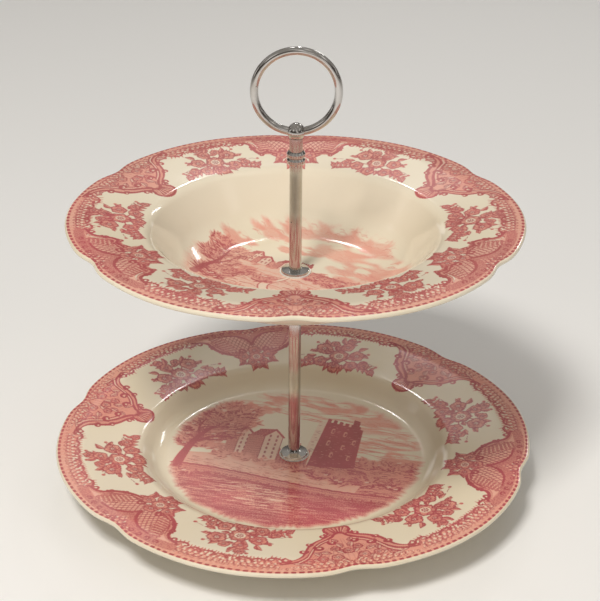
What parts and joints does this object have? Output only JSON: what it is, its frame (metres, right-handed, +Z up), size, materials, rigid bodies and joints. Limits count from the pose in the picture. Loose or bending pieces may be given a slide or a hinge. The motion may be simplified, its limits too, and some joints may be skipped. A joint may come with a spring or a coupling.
{
  "type": "tiered cake stand",
  "caption": "Tiered cake stand: a lobed dinner plate below a deep rimmed soup plate on a screwed centre rod with a ring handle.",
  "frame": {"origin": "on the rod's axis, on the surface that the lower plate's foot ring stands on", "axes": "+Z up the rod; the ring handle lies in the XZ plane and -Y is the side the picture was taken from"},
  "size_m": [0.2536, 0.2534, 0.2392],
  "materials": {
    "lower_plate_glaze": "gloss glaze over a pink transfer print",
    "upper_plate_glaze": "gloss glaze over a pink transfer print",
    "chrome_plate": "polished",
    "plated_steel": "bright zinc plated",
    "turned_brass": "as turned",
    "white_plastic": "semi-matte"
  },
  "bodies": {
    "lower_tier": {"lower_plate": "lower_plate_glaze", "base_seal": "white_plastic", "lower_seal": "white_plastic"},
    "column": {"base_screw": "plated_steel", "base_washer": "plated_steel", "lower_flange": "chrome_plate", "lower_rod": "chrome_plate", "lower_rod_foot_plug": "turned_brass", "lower_rod_head_plug": "turned_brass", "joining_stud": "plated_steel", "under_flange": "chrome_plate"},
    "upper_tier": {"under_seal": "white_plastic", "upper_plate": "upper_plate_glaze", "upper_seal": "white_plastic"},
    "rod_flange": {"upper_flange": "chrome_plate"},
    "top_rod": {"upper_rod": "chrome_plate", "upper_rod_foot_plug": "turned_brass", "upper_rod_head_plug": "turned_brass"},
    "collar": {"rod_collar": "chrome_plate"},
    "handle": {"handle_neck": "chrome_plate", "handle_stud": "plated_steel", "ring_ball": "chrome_plate", "handle_ring": "chrome_plate"}
  },
  "joints": [
    {"name": "column_turn", "type": "hinge", "parent": "lower_tier", "child": "column", "pos_m": [0, 0, 0], "axis": [0, 0, 1], "continuous": true},
    {"name": "upper_plate_turn", "type": "hinge", "parent": "column", "child": "upper_tier", "pos_m": [0, 0, 0], "axis": [0, 0, 1], "continuous": true},
    {"name": "upper_rod_unscrew", "type": "hinge", "parent": "column", "child": "rod_flange", "pos_m": [0, 0, 0], "axis": [0, 0, 1], "range_deg": [0, 4320]},
    {"name": "upper_rod_rise", "type": "slide", "parent": "rod_flange", "child": "top_rod", "axis": [0, 0, 1], "range_m": [0, 0.0084]},
    {"name": "handle_unscrew", "type": "hinge", "parent": "top_rod", "child": "collar", "pos_m": [0, 0, 0], "axis": [0, 0, 1], "range_deg": [0, 4320]},
    {"name": "handle_rise", "type": "slide", "parent": "collar", "child": "handle", "axis": [0, 0, 1], "range_m": [0, 0.0084]}
  ],
  "couplings": [
    {"joint": "upper_rod_unscrew", "follows": "upper_rod_rise", "rad_per_m": 8976},
    {"joint": "handle_unscrew", "follows": "handle_rise", "rad_per_m": 8976}
  ]
}
